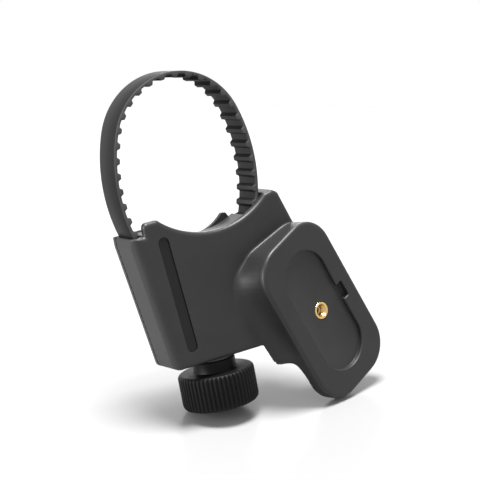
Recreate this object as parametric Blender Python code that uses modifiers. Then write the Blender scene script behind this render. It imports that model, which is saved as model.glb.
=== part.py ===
"""Belt-clamp tripod mount: a toothed belt over a saddle, tightened by a knob, and a tripod foot plate.

Z is the knob's axis, X runs from horn to horn, and the front face looks along -Y.
All sizes below are millimetres; mm() turns them into Blender's metres.
"""

import math

import bmesh
import bpy
from mathutils import Matrix, Vector

GAP = 0.3                      # clearance between separate pieces
SLIDE_GAP = 0.35               # slightly wider clearance, where a piece slides

# knob and screw, on the Z axis
KNOB_R = 20.5
KNOB_H = 19.0
KNOB_FLUTES = 54
KNOB_FLUTE_DEPTH = 0.75
HUB_R = 11.5
HUB_TOP = 25.3
SCREW_R = 3.0
SCREW_TOP = 80.0
KNOB_CORE_R = 6.5
KNOB_CORE_H = 12.0
KNOB_POCKET_R = 12.0
KNOB_POCKET = 4.0

BELT_HALF = 40.5               # half the loop's outside width: what lies beside the belt follows it

# housing, front view
BOTTOM = 27.0                  # underside of the housing
WALL = 3.0
SIDE_WALL = 1.6
FRONT = -15.5                  # front face
BACK = 7.0                     # where the rear cover begins
COVER_T = 3.2
LEFT_FOOT_X = -28.4
LEFT_TOP_X = -38.75
LEFT_TOP_Z = 95.0
LEFT_WALL_TOP = 100.0
HORN_LEFT_X = -32.0
HORN_TOP = 106.8
SADDLE_X = 9.0
SADDLE_LOW = 94.0
SADDLE_R = 47.0
REAR_X = 6.5                   # the rear cover's own saddle
REAR_LOW = 90.5
REAR_R = 26.0
REAR_STEPS = 18
RIGHT_HORN_X = 48.5
RIGHT_HORN_Z = 104.8
RIGHT_SIDE_X = 57.0
RIGHT_SIDE_Z = 80.0
RIGHT_FOOT_X = 27.0
CAVITY_RIGHT = 41.0            # right end of the slot that the belt passes
CAVITY_SHOULDER = 86.0         # under it the hollow narrows towards the screw
CAVITY_FOOT_X = 20.0
CLEAR_TOP = 130.0              # cutters reach this high, over every part of the housing
STRIP_TOP = (-22.4, 94.4)      # ends of the obround groove in the front face
STRIP_LOW = (-17.6, 38.0)
STRIP_R = 3.1
STRIP_DEPTH = 0.8
LEFT_ROUND = 5.0
EDGE_ROUND = 2.2
FLOOR_DROP = 2.4               # the saddle floor lies this far under the lips
FLOOR_T = 3.4
FLOOR_LEFT = 11.0 - BELT_HALF
FLOOR_LEVEL = 99.6
FLOOR_RIGHT = BELT_HALF - 10.5
REAR_TIP_X = FLOOR_RIGHT - 5.5   # small raised tip at the right end of the rear saddle
REAR_TIP_W = 2.3
FLOOR_SHELF = SADDLE_X - math.sqrt(SADDLE_R**2 - (SADDLE_LOW + SADDLE_R - FLOOR_DROP - FLOOR_LEVEL) ** 2)

# belt
BELT_W = 18.5
BELT_BACK = 1.6
TOOTH_H = 1.65
PITCH = 8.0
BELT_SIDE_R = 86.0
BELT_SIDE_Z = 125.0
BELT_TURN = math.radians(20.0)
BELT_END = 90.0
TAIL_TOP = 89.4
TAIL_TOP_X = BELT_HALF - 8.9
TAIL_BEND = 83.8                # the strand turns towards the carriage here
TAIL_BEND_X = BELT_HALF - 11.1

BELT_FRONT = FRONT + WALL + 0.5
BELT_CENTRE = BELT_FRONT + BELT_W / 2.0
PIN_R = 2.0                    # pins that guide the belt's ends into the housing
PIN_X = BELT_HALF - 15.9
PIN_Z = 84.6

# carriage that the screw pulls down
CAR_HALF = 9.5
CAR_LOW = 47.0
CAR_TOP = 63.0
CAR_DEPTH = 13.0
NUT_R = 5.0
NUT_T = 5.0
CLAMP_T = 3.0
BELT_AT_CLAMP = 3.6            # outer side of the strand, from the carriage's side
CLAMP_Z = 51.5                 # height of the clamp screws

# screws, dowels and the clip that hold the pieces together
COVER_SCREWS = [(-24.0, 36.5), (-30.5, 70.0), (24.0, 44.0), (36.5, 78.0)]
DOWELS = [-18.0, 18.0]
DOWEL_R = 2.0
DOWEL_IN = 0.7                 # how far a dowel goes into the plate's back
DOWEL_L = 6.0
SCREW_SHANK_R = 1.25
SCREW_SHANK = 8.0
SCREW_HEAD_R = 2.8
SCREW_HEAD = 1.5
BOSS_R = 3.6
PILOT_R = 1.55
COVER_HOLE_R = 1.75
COVER_SINK_R = 3.3
COVER_SEAT = 1.4               # what is left of the rear cover under a screw's head
CLAMP_SCREW_R = 1.0
CLAMP_HEAD_R = 2.7
BUSH_R = 4.1                   # neck of the bush, in the housing's floor
BUSH_FLANGE_R = 6.5
TURN_GAP = 0.08                # clearance of the screw in its bush and its nut
CLIP_R = 5.0
CLIP_LOW = BOTTOM + WALL + 2.0

# foot plate: its face centre, and how it is turned
FOOT = Vector((58.4, -23.9, 37.9))
FOOT_YAW = math.radians(14.0)
FOOT_ROLL = math.radians(23.4)
FOOT_HALF_W = 26.7
FOOT_HALF_L = 48.2
FOOT_CORNER = 17.8
FOOT_T = 4.2
FOOT_FLARE_T = 8.0             # the neck keeps the plate's outline down to this depth

# neck between the foot plate and the housing
NECK_FLARE = 8.0               # how far its left side spreads out onto the front face
NECK_LOW = 14.5                # its underside, behind the front face
NECK_SINK = 0.6                # its rim lies this far under the front face
NECK_FADE_Y = -12.0            # along the foot, the spread ends here
NECK_AT = Vector((39.0, -2.0, 60.0))
NECK_HALF_W = 13.5
NECK_HALF_L = 27.0

RECESS_HALF_W = 15.4
RECESS_HALF_L = 36.4
RECESS = 2.5
NOTCH_IN = 14.0                # the notch beside the recess, in the foot's own frame
NOTCH_OUT = 19.4
NOTCH_LOW = -4.3
NOTCH_TOP = 5.2
NOTCH_DEPTH = RECESS + 0.6
INSERT_R = 4.75
INSERT_BORE = 2.8
INSERT_L = 5.2

PARTS = "belt_clamp_mount"
CUTTERS = "cutters"


def mm(value):
    return value * 0.001


def clear_scene():
    for obj in list(bpy.data.objects):
        bpy.data.objects.remove(obj, do_unlink=True)
    for name in (PARTS, CUTTERS):
        collection = bpy.data.collections.new(name)
        bpy.context.scene.collection.children.link(collection)


def material(name, colour, roughness, metallic=0.0):
    made = bpy.data.materials.get(name) or bpy.data.materials.new(name)
    made.use_nodes = True
    shader = made.node_tree.nodes["Principled BSDF"]
    shader.inputs["Base Color"].default_value = (*colour, 1.0)
    shader.inputs["Roughness"].default_value = roughness
    shader.inputs["Metallic"].default_value = metallic
    return made


def plastic(name):
    return material(name + "_plastic", (0.035, 0.036, 0.038), 0.5)


def steel(name):
    return material(name + "_steel", (0.55, 0.56, 0.57), 0.3, 1.0)


def brass(name):
    return material(name + "_brass", (0.72, 0.5, 0.2), 0.3, 1.0)


def rubber(name):
    return material(name + "_rubber", (0.03, 0.03, 0.032), 0.6)


def put(obj, collection):
    for held in list(obj.users_collection):
        held.objects.unlink(obj)
    bpy.data.collections[collection].objects.link(obj)
    if collection == CUTTERS:
        obj.hide_render = True
        obj.display_type = "WIRE"
    return obj


def from_bmesh(name, bm, collection=PARTS):
    bmesh.ops.recalc_face_normals(bm, faces=bm.faces)
    mesh = bpy.data.meshes.new(name)
    bm.to_mesh(mesh)
    bm.free()
    return put(bpy.data.objects.new(name, mesh), collection)


def arc(centre, radius, start, end, steps):
    """Points on an arc in the outline's plane, angles in degrees from +x."""
    points = []
    for i in range(steps + 1):
        angle = math.radians(start + (end - start) * i / steps)
        points.append((centre[0] + radius * math.cos(angle), centre[1] + radius * math.sin(angle)))
    return points


def rounded(corners, steps=5):
    """The outline through (x, z, radius) corners, each turned into an arc of its radius."""
    points = []
    count = len(corners)
    for i, (x, z, radius) in enumerate(corners):
        here = Vector((x, z))
        if radius <= 0.0:
            points.append((x, z))
            continue
        before = (Vector(corners[i - 1][:2]) - here).normalized()
        after = (Vector(corners[(i + 1) % count][:2]) - here).normalized()
        half = before.angle(after) / 2.0
        reach = radius / math.tan(half)
        centre = here + (before + after).normalized() * (radius / math.sin(half))
        first = here + before * reach - centre
        turn = (here + after * reach - centre).angle_signed(first)
        for k in range(steps + 1):
            angle = turn * k / steps
            points.append(tuple(centre + Matrix.Rotation(angle, 2) @ first))
    return points


def sheet(name, outline, front, back, collection=PARTS):
    """A flat outline in x and z, extruded from y = front to y = back, as one welded mesh."""
    curve = bpy.data.curves.new(name, "CURVE")
    curve.dimensions = "2D"
    curve.fill_mode = "BOTH"
    curve.extrude = mm(abs(back - front) / 2.0)
    spline = curve.splines.new("POLY")
    spline.points.add(len(outline) - 1)
    for point, (x, z) in zip(spline.points, outline):
        point.co = (mm(x), mm(z), 0.0, 1.0)
    spline.use_cyclic_u = True
    holder = bpy.data.objects.new(name + "_curve", curve)
    bpy.context.scene.collection.objects.link(holder)
    holder.rotation_euler = (math.radians(90.0), 0.0, 0.0)
    holder.location = (0.0, mm((front + back) / 2.0), 0.0)
    bpy.context.view_layer.update()
    graph = bpy.context.evaluated_depsgraph_get()
    mesh = bpy.data.meshes.new_from_object(holder.evaluated_get(graph))
    mesh.transform(holder.matrix_world)
    bpy.data.objects.remove(holder, do_unlink=True)
    bm = bmesh.new()
    bm.from_mesh(mesh)
    bpy.data.meshes.remove(mesh)
    bmesh.ops.remove_doubles(bm, verts=bm.verts, dist=1e-6)
    return from_bmesh(name, bm, collection)


def cylinder(name, radius, low, high, sides=32, at=(0.0, 0.0), collection=PARTS):
    """A cylinder whose axis is parallel to Z."""
    bm = bmesh.new()
    bmesh.ops.create_cone(
        bm, cap_ends=True, segments=sides, radius1=mm(radius), radius2=mm(radius), depth=mm(high - low)
    )
    bmesh.ops.translate(bm, verts=bm.verts, vec=(mm(at[0]), mm(at[1]), mm((low + high) / 2.0)))
    return from_bmesh(name, bm, collection)


def rod_y(name, radius, front, back, at, sides=20, collection=PARTS):
    """A cylinder along Y, from y = front to y = back, at (x, z)."""
    obj = cylinder(name, radius, 0.0, back - front, sides, (0.0, 0.0), collection)
    turned = Matrix.Rotation(math.radians(-90.0), 4, "X")
    obj.data.transform(Matrix.Translation((mm(at[0]), mm(front), mm(at[1]))) @ turned)
    return obj


def box(name, low, high, collection=PARTS):
    bm = bmesh.new()
    bmesh.ops.create_cube(bm, size=1.0)
    size = [mm(b - a) for a, b in zip(low, high)]
    bmesh.ops.scale(bm, verts=bm.verts, vec=size)
    bmesh.ops.translate(bm, verts=bm.verts, vec=[mm((a + b) / 2.0) for a, b in zip(low, high)])
    return from_bmesh(name, bm, collection)


def turned(name, profile, sides=48, collection=PARTS):
    """A solid turned about Z from (radius, z) points that run from top to bottom."""
    mesh = bpy.data.meshes.new(name)
    points = [(mm(r), 0.0, mm(z)) for r, z in profile]
    mesh.from_pydata(points, [(i, i + 1) for i in range(len(points) - 1)], [])
    obj = put(bpy.data.objects.new(name, mesh), collection)
    screw = obj.modifiers.new("turn", "SCREW")
    screw.steps = sides
    screw.render_steps = sides
    screw.use_merge_vertices = True
    screw.merge_threshold = 0.000001
    return obj


def boolean(obj, other, operation="DIFFERENCE"):
    """EXACT leaves open edges in the two mouldings that hold many holes, so they use MANIFOLD."""
    step = obj.modifiers.new(other.name, "BOOLEAN")
    step.operation = operation
    step.object = other
    if obj.name in ("front_housing", "rear_cover"):
        step.solver = "MANIFOLD"


def bevel(obj, width, segments=2, angle=40.0):
    step = obj.modifiers.new("round", "BEVEL")
    step.width = mm(width)
    step.segments = segments
    step.limit_method = "ANGLE"
    step.angle_limit = math.radians(angle)


def weighted_bevel(obj, weight_of, width, segments):
    """Rounds the rim edges, each by its own share of the width."""
    mesh = obj.data
    weights = mesh.attributes.new("bevel_weight_edge", "FLOAT", "EDGE")
    for edge in mesh.edges:
        a, b = (mesh.vertices[i].co for i in edge.vertices)
        weights.data[edge.index].value = weight_of(a, b)
    step = obj.modifiers.new("round", "BEVEL")
    step.width = mm(width)
    step.segments = segments
    step.limit_method = "WEIGHT"


def saddle_z(x, drop=0.0):
    return SADDLE_LOW - drop + SADDLE_R - math.sqrt(SADDLE_R**2 - (x - SADDLE_X) ** 2)


def saddle_line(start, end, drop, steps):
    """The saddle's arc, from x = start to x = end."""
    return [
        (start + (end - start) * i / steps, saddle_z(start + (end - start) * i / steps, drop))
        for i in range(steps + 1)
    ]


def left_x(z):
    """The left wall's outer face at this height."""
    rise = min(max(z, BOTTOM), LEFT_TOP_Z)
    return LEFT_FOOT_X + (LEFT_TOP_X - LEFT_FOOT_X) * (rise - BOTTOM) / (LEFT_TOP_Z - BOTTOM)


def body_corners(left_horn):
    """The housing's outline below its saddle, going round from the right horn down and up the left side."""
    corners = [
        (RIGHT_HORN_X, RIGHT_HORN_Z, 1.5),
        (RIGHT_SIDE_X, RIGHT_SIDE_Z, 12.0),
        (RIGHT_FOOT_X, BOTTOM, 10.0),
        (LEFT_FOOT_X, BOTTOM, 3.0),
        (LEFT_TOP_X, LEFT_TOP_Z, 0.0),
        (LEFT_TOP_X, LEFT_WALL_TOP, 0.8),
    ]
    if left_horn:
        corners += [(HORN_LEFT_X, LEFT_WALL_TOP, 0.0), (HORN_LEFT_X, HORN_TOP, 2.4)]
    return corners


def front_outline():
    horn_run = math.sqrt(SADDLE_R**2 - (SADDLE_LOW + SADDLE_R - HORN_TOP) ** 2)
    saddle = saddle_line(SADDLE_X - horn_run, SADDLE_X + horn_run - 1.0, 0.0, 28)
    corners = [(x, z, 0.0) for x, z in saddle]
    return rounded(corners + [(45.2, HORN_TOP, 0.0)] + body_corners(True))


def cover_outline():
    """The rear cover: a tighter saddle than the front's, a small raised tip, and the slot for the belt."""
    run = math.sqrt(REAR_R**2 - (REAR_LOW + REAR_R - LEFT_WALL_TOP) ** 2)
    start = REAR_X - run
    corners = []
    for i in range(REAR_STEPS + 1):
        x = start + (REAR_TIP_X - start) * i / REAR_STEPS
        corners.append((x, REAR_LOW + REAR_R - math.sqrt(REAR_R**2 - (x - REAR_X) ** 2), 0.0))
    tip = corners[-1][1]
    corners += [(REAR_TIP_X + REAR_TIP_W, tip, 1.0), (FLOOR_RIGHT - 1.0, SADDLE_LOW, 1.0)]
    corners += [(44.0, 92.0, 1.0), (46.0, RIGHT_HORN_Z, 1.0)]
    return rounded(corners + body_corners(False))


def rim_weight(a, b):
    """Full rounding on the left side and the bottom, less round the saddle and the horns."""
    if abs(a.y - b.y) > 1e-6:
        return 0.0
    if a.y > mm(FRONT) + 1e-6:
        return 0.0
    middle = (a + b) / 2.0
    on_left = middle.x < mm(left_x(middle.z * 1000.0) + 0.5)
    return 1.0 if on_left and middle.z < mm(LEFT_WALL_TOP - 1.0) else EDGE_ROUND / LEFT_ROUND


def foot_matrix(depth=0.0):
    """Foot plate's frame: local x across, local y along its length, local z out of its face."""
    out = Vector((math.sin(FOOT_YAW), -math.cos(FOOT_YAW), 0.0))
    across = Vector((math.cos(FOOT_YAW), math.sin(FOOT_YAW), 0.0))
    up = Vector((0.0, 0.0, 1.0))
    side = across * math.cos(FOOT_ROLL) + up * math.sin(FOOT_ROLL)
    along = up * math.cos(FOOT_ROLL) - across * math.sin(FOOT_ROLL)
    matrix = Matrix((side, along, out)).transposed().to_4x4()
    matrix.translation = (FOOT - out * depth) * 0.001
    return matrix


def round_rectangle(half_w, half_l, radius, steps=6):
    corners = [(half_w, half_l), (-half_w, half_l), (-half_w, -half_l), (half_w, -half_l)]
    return rounded([(x, y, radius) for x, y in corners], steps)


def foot_solid(name, outline, out, depth, collection=PARTS):
    """An outline in the foot plate's frame, from `out` above its face to `depth` below it."""
    obj = sheet(name, outline, -out, depth, collection)
    flat = Matrix.Rotation(math.radians(-90.0), 4, "X")
    obj.data.transform(foot_matrix() @ flat)
    return obj


def resampled(outline, step):
    """The closed outline with extra points, so that none of its segments is longer than this step."""
    points = []
    for i, point in enumerate(outline):
        here = Vector(point)
        after = Vector(outline[(i + 1) % len(outline)])
        count = max(1, math.ceil((after - here).length / step))
        points += [here.lerp(after, k / count) for k in range(count)]
    return points


def spread(point, normal):
    """How much the neck spreads out at this point of the foot's outline: most on its left side."""
    side = -normal.x - 0.6 * max(0.0, normal.y) + 0.3 * max(0.0, -normal.y)
    fade = min(1.0, max(0.0, (point.y - NECK_FADE_Y + 14.0) / 14.0))
    return min(1.0, max(0.0, side)) * fade


def neck_ring(outline, share):
    """Share 0 lies on the foot plate's back, share 1 on the front face, or behind it on the right."""
    back = foot_matrix(FOOT_T + GAP)
    inwards = -back.col[2].to_3d()
    ring = []
    for i, point in enumerate(outline):
        tangent = outline[(i + 1) % len(outline)] - outline[i - 1]
        normal = Vector((tangent.y, -tangent.x)).normalized()
        start = back @ Vector((mm(point.x), mm(point.y), 0.0))
        plate = mm(FOOT_FLARE_T - FOOT_T - GAP)
        depth = max(plate, (mm(FRONT + NECK_SINK) - start.y) / inwards.y)
        outwards = back.to_3x3() @ Vector((normal.x, normal.y, 0.0))
        outwards.y = 0.0
        grow = mm(NECK_FLARE) * (1.0 - math.sqrt(1.0 - share**2)) * spread(point, normal)
        at = start + inwards * depth * share + outwards * grow
        past = max(0.0, depth * share - plate) / max(mm(0.1), depth - plate)
        if at.z < mm(NECK_LOW):
            at.z += (mm(NECK_LOW) - at.z) * (1.0 - (1.0 - past) ** 2.0)
        ring.append(at)
    return ring


def neck(name):
    """The neck: it spreads out from the foot plate onto the front face, and ends inside the housing."""
    shape = round_rectangle(FOOT_HALF_W - 0.5, FOOT_HALF_L - 0.5, FOOT_CORNER - 0.5, 5)
    outline = resampled(shape, 7.0)
    flare = [neck_ring(outline, share) for share in (0.0, 0.2, 0.4, 0.6, 0.75, 0.87, 0.95, 1.0)]
    half = Vector((NECK_HALF_W / FOOT_HALF_W, NECK_HALF_L / FOOT_HALF_L))
    ends = [(NECK_AT + Vector((point.x * half.x, 0.0, point.y * half.y))) * 0.001 for point in outline]
    inner = []
    for share in (0.15, 0.35, 0.65, 1.0):
        ease = 1.0 - (1.0 - share) ** 2.2
        ring = [start.lerp(end, ease) for start, end in zip(flare[-1], ends)]
        for at, start, end in zip(ring, flare[-1], ends):
            at.y = start.y + (end.y - start.y) * share
        inner.append(ring)
    bm = bmesh.new()
    rings = [[bm.verts.new(point) for point in ring] for ring in flare + inner]
    for low, high in zip(rings, rings[1:]):
        for k in range(len(low)):
            after = (k + 1) % len(low)
            bm.faces.new((low[k], low[after], high[after], high[k]))
    bm.faces.new(rings[0])
    bm.faces.new(rings[-1])
    bmesh.ops.triangulate(bm, faces=bm.faces)
    return from_bmesh(name, bm, CUTTERS)


def cavity_outline():
    """The hollow behind the front plate, open at the top for the belt's two strands."""
    return rounded(
        [
            (LEFT_FOOT_X + 1.3, BOTTOM + WALL, 2.0),
            (left_x(LEFT_TOP_Z) + SIDE_WALL, LEFT_TOP_Z, 0.0),
            (left_x(LEFT_TOP_Z) + SIDE_WALL, HORN_TOP + 6.0, 0.0),
            (CAVITY_RIGHT, HORN_TOP + 6.0, 0.0),
            (CAVITY_RIGHT, CAVITY_SHOULDER, 6.0),
            (CAVITY_FOOT_X, BOTTOM + WALL, 5.0),
        ]
    )


def front_housing():
    shell = sheet("front_housing", front_outline(), FRONT, BACK)
    weighted_bevel(shell, rim_weight, LEFT_ROUND, 4)
    boolean(shell, neck("neck_cutter"), "UNION")
    cavity = sheet("cavity_cutter", cavity_outline(), FRONT + WALL, BACK + 30.0, CUTTERS)
    boolean(shell, cavity)
    reach = CAVITY_RIGHT - 0.1
    top = sheet(
        "left_top_cutter",
        [(-60.0, LEFT_WALL_TOP), (reach, LEFT_WALL_TOP), (reach, CLEAR_TOP), (-60.0, CLEAR_TOP)],
        FRONT + WALL,
        BACK + 30.0,
        CUTTERS,
    )
    boolean(shell, top)
    boolean(shell, strip_cutter())
    bush = cylinder("bush_cutter", BUSH_R + GAP, BOTTOM - 5.0, BOTTOM + 9.0, 32, (0.0, 0.0), CUTTERS)
    boolean(shell, bush)
    for index, (x, z) in enumerate(COVER_SCREWS):
        boss = rod_y(f"boss_{index}", BOSS_R, FRONT + WALL - 0.5, BACK - 0.5, (x, z), 20, CUTTERS)
        boolean(shell, boss, "UNION")
        boolean(shell, rod_y(f"pilot_{index}", PILOT_R, -6.0, BACK + 5.0, (x, z), 16, CUTTERS))
    for side in (-1, 1):
        at = (side * PIN_X, PIN_Z)
        pin = rod_y(f"pin_hole_{side + 1}", PIN_R + GAP, FRONT + 1.6, FRONT + 8.0, at, 20, CUTTERS)
        boolean(shell, pin)
    insert_hole = foot_hole("insert_cutter", INSERT_R + GAP, 20, FOOT_T - 1.0, RECESS + INSERT_L + GAP)
    boolean(shell, insert_hole)
    for index, along in enumerate(DOWELS):
        name = f"neck_dowel_hole_{index}"
        boolean(shell, foot_hole(name, DOWEL_R + GAP, 20, FOOT_T - 1.0, FOOT_T + DOWEL_L, along))
    shell.data.materials.append(plastic("housing"))
    return shell


def strip_cutter():
    """The shallow obround groove along the front face's left edge."""
    top = Vector(STRIP_TOP)
    low = Vector(STRIP_LOW)
    lean = math.degrees(math.atan2(low.y - top.y, low.x - top.x))
    outline = arc(top, STRIP_R, lean + 270.0, lean + 90.0, 8)
    outline += arc(low, STRIP_R, lean + 90.0, lean - 90.0, 8)
    return sheet("strip_cutter", outline[::-1], FRONT - 3.0, FRONT + STRIP_DEPTH, CUTTERS)


def rear_cover():
    cover = sheet("rear_cover", cover_outline(), BACK + GAP, BACK + GAP + COVER_T)

    def weight(a, b):
        flat = abs(a.y - b.y) < 1e-6 and a.y > mm(BACK + COVER_T)
        return 1.0 if flat else 0.0

    weighted_bevel(cover, weight, EDGE_ROUND, 3)
    for index, (x, z) in enumerate(COVER_SCREWS):
        hole = rod_y(f"cover_hole_{index}", COVER_HOLE_R, BACK - 2.0, BACK + 9.0, (x, z), 16, CUTTERS)
        boolean(cover, hole)
        seat = BACK + GAP + COVER_SEAT
        sink = rod_y(f"cover_sink_{index}", COVER_SINK_R, seat, BACK + 9.0, (x, z), 24, CUTTERS)
        boolean(cover, sink)
    cover.data.materials.append(plastic("cover"))
    return cover


def foot_hole(name, radius, sides, top, bottom, along=0.0):
    """A round cutter square to the foot plate, from `top` to `bottom` below its face."""
    obj = cylinder(name, radius, -bottom, -top, sides, (0.0, along), CUTTERS)
    obj.data.transform(foot_matrix())
    return obj


def foot_plate():
    plate = foot_solid("foot_plate", round_rectangle(FOOT_HALF_W, FOOT_HALF_L, FOOT_CORNER), 0.0, FOOT_T)
    step = plate.modifiers.new("round", "BEVEL")
    step.width = mm(1.2)
    step.segments = 3
    step.limit_method = "ANGLE"
    step.angle_limit = math.radians(60.0)
    stadium = round_rectangle(RECESS_HALF_W, RECESS_HALF_L, RECESS_HALF_W - 0.01, 8)
    boolean(plate, foot_solid("recess_cutter", stadium, 3.0, RECESS, CUTTERS))
    notch = [(NOTCH_IN, NOTCH_LOW), (NOTCH_OUT, NOTCH_LOW), (NOTCH_OUT, NOTCH_TOP), (NOTCH_IN, NOTCH_TOP)]
    boolean(plate, foot_solid("notch_cutter", notch, 3.0, NOTCH_DEPTH, CUTTERS))
    boolean(plate, foot_hole("insert_bore", INSERT_R + GAP, 32, -3.0, FOOT_T + 3.0))
    for index, along in enumerate(DOWELS):
        name = f"foot_dowel_hole_{index}"
        top = FOOT_T - DOWEL_IN - GAP
        boolean(plate, foot_hole(name, DOWEL_R + GAP, 20, top, FOOT_T + 3.0, along))
    plate.data.materials.append(plastic("foot"))
    return plate


def brass_insert():
    """The knurled 1/4 inch insert, its top 0.2 above the recess floor."""
    top = -RECESS + 0.2
    profile = [(INSERT_BORE, top - 0.5), (INSERT_BORE + 0.5, top), (INSERT_R, top)]
    profile += [(INSERT_R, top - INSERT_L), (INSERT_BORE, top - INSERT_L)]
    obj = ring("brass_insert", profile, 32)
    obj.matrix_world = foot_matrix()
    obj.data.materials.append(brass("insert"))
    return obj


def ring(name, section, sides=40):
    """A closed section turned about Z."""
    obj = turned(name, section, sides)
    mesh = obj.data
    last = len(mesh.vertices) - 1
    bm = bmesh.new()
    bm.from_mesh(mesh)
    bm.verts.ensure_lookup_table()
    bm.edges.new((bm.verts[last], bm.verts[0]))
    bm.to_mesh(mesh)
    bm.free()
    return obj


def belt_outer():
    """The belt's smooth back, with its outward normals, from its left end over the top to its right."""
    centre_x = BELT_HALF - BELT_SIDE_R
    low = math.asin((BELT_END - BELT_SIDE_Z) / BELT_SIDE_R)
    top_r = (centre_x + BELT_SIDE_R * math.cos(BELT_TURN)) / math.cos(BELT_TURN)
    top_z = BELT_SIDE_Z + BELT_SIDE_R * math.sin(BELT_TURN) - top_r * math.sin(BELT_TURN)
    side = BELT_SIDE_R * (BELT_TURN - low)
    crown = 2.0 * top_r * (math.pi / 2.0 - BELT_TURN)
    total = 2.0 * side + crown

    def at(distance):
        """Point and outward normal at this distance along the back from the left end."""
        mirror = distance > total / 2.0
        run = total - distance if mirror else distance
        if run < side:
            angle = low + run / BELT_SIDE_R
            x = centre_x + BELT_SIDE_R * math.cos(angle)
            z = BELT_SIDE_Z + BELT_SIDE_R * math.sin(angle)
        else:
            angle = BELT_TURN + (run - side) / top_r
            x = top_r * math.cos(angle)
            z = top_z + top_r * math.sin(angle)
        sign = 1.0 if mirror else -1.0
        return Vector((sign * x, z)), Vector((sign * math.cos(angle), math.sin(angle)))

    return at, total


def toothed_outline(at, total, pitch, back_steps):
    """Outline of a band: its back out, then its teeth on the way home."""
    points = [tuple(at(total * i / back_steps)[0]) for i in range(back_steps + 1)]
    count = int(total / pitch)
    margin = (total - count * pitch) / 2.0
    inner = []
    for i in range(count):
        for share, depth in ((0.22, 0.0), (0.32, 1.0), (0.68, 1.0), (0.78, 0.0)):
            point, normal = at(margin + (i + share) * pitch)
            inner.append(tuple(point - normal * (BELT_BACK + depth * TOOTH_H)))
    first, normal = at(0.0)
    last, last_normal = at(total)
    right_end = tuple(last - last_normal * BELT_BACK)
    left_end = tuple(first - normal * BELT_BACK)
    return points + [right_end] + inner[::-1] + [left_end]


def belt_loop():
    at, total = belt_outer()
    obj = sheet("belt_loop", toothed_outline(at, total, PITCH, 60), BELT_FRONT, BELT_FRONT + BELT_W)
    obj.data.materials.append(rubber("belt"))
    return obj


def belt_tail(side):
    """The strand inside the housing, from under the slot down to the carriage's clamp."""
    outside = CAR_HALF + BELT_AT_CLAMP
    points = [(TAIL_TOP_X, TAIL_TOP), (TAIL_BEND_X, TAIL_BEND), (outside + 1.0, CAR_TOP + 1.0)]
    points += [(outside, CAR_TOP - 2.0), (outside, CAR_LOW + 1.0)]
    inner = [(x - 2.2, z - 0.4) for x, z in points[:-1]] + [(CAR_HALF + 1.4, CAR_LOW + 1.0)]
    outline = [(side * x, z) for x, z in points + inner[::-1]]
    name = "belt_tail_left" if side < 0 else "belt_tail_right"
    obj = sheet(name, outline, BELT_FRONT, BELT_FRONT + BELT_W)
    hole = cylinder(name + "_hole", 1.5, 0.0, 12.0, 16, (0, 0), CUTTERS)
    hole.data.transform(side_matrix(side, CAR_HALF - 1.0))
    boolean(obj, hole)
    obj.data.materials.append(rubber("tail"))
    return obj


def saddle_floor():
    """The curved floor between the two belt slots, level where it meets the left wall's height."""
    top = [(FLOOR_LEFT, FLOOR_LEVEL)] + saddle_line(FLOOR_SHELF, FLOOR_RIGHT, FLOOR_DROP, 20)
    under = saddle_line(FLOOR_SHELF, FLOOR_RIGHT - 0.6, FLOOR_DROP + FLOOR_T, 20)[::-1]
    under += [(FLOOR_LEFT, FLOOR_LEVEL - FLOOR_T)]
    obj = sheet("saddle_floor", top + under, FRONT + WALL + GAP, BACK - GAP)
    obj.data.materials.append(plastic("floor"))
    return obj


def carriage():
    front = BELT_CENTRE - CAR_DEPTH / 2.0
    back = BELT_CENTRE + CAR_DEPTH / 2.0
    block = box("tension_carriage", (-CAR_HALF, front, CAR_LOW), (CAR_HALF, back, CAR_TOP))
    bevel(block, 0.8, 2)
    bore = cylinder("carriage_bore", SCREW_R + SLIDE_GAP, CAR_LOW - 3.0, CAR_TOP + 3.0, 32, (0, 0), CUTTERS)
    boolean(block, bore)
    nut = cylinder("nut_pocket", NUT_R + GAP, CAR_TOP - NUT_T - 0.6, CAR_TOP + 3.0, 6, (0, 0), CUTTERS)
    boolean(block, nut)
    for index, side in enumerate((-1, 1)):
        hole = cylinder(f"clamp_pilot_{index}", 1.3, 0.0, 6.0, 16, (0, 0), CUTTERS)
        hole.data.transform(side_matrix(side, CAR_HALF - 4.0))
        boolean(block, hole)
    block.data.materials.append(plastic("carriage"))
    return block


def side_matrix(side, distance):
    """Turns a piece on Z so that it points along side * X, starting this far from the centre plane."""
    turn = Matrix.Rotation(math.radians(90.0 * side), 4, "Y")
    return Matrix.Translation((mm(side * distance), mm(BELT_CENTRE), mm(CLAMP_Z))) @ turn


def belt_clamp(side):
    inner = CAR_HALF + BELT_AT_CLAMP + GAP
    name = "belt_clamp_left" if side < 0 else "belt_clamp_right"
    x = sorted((side * inner, side * (inner + CLAMP_T)))
    front = BELT_CENTRE - CAR_DEPTH / 2.0
    plate = box(name, (x[0], front, CAR_LOW), (x[1], front + CAR_DEPTH, CAR_LOW + 12.0))
    bevel(plate, 0.5, 2)
    hole = cylinder(name + "_bore", 1.7, 0.0, 12.0, 16, (0, 0), CUTTERS)
    hole.data.transform(side_matrix(side, CAR_HALF))
    boolean(plate, hole)
    plate.data.materials.append(steel("clamp"))
    return plate


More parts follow.
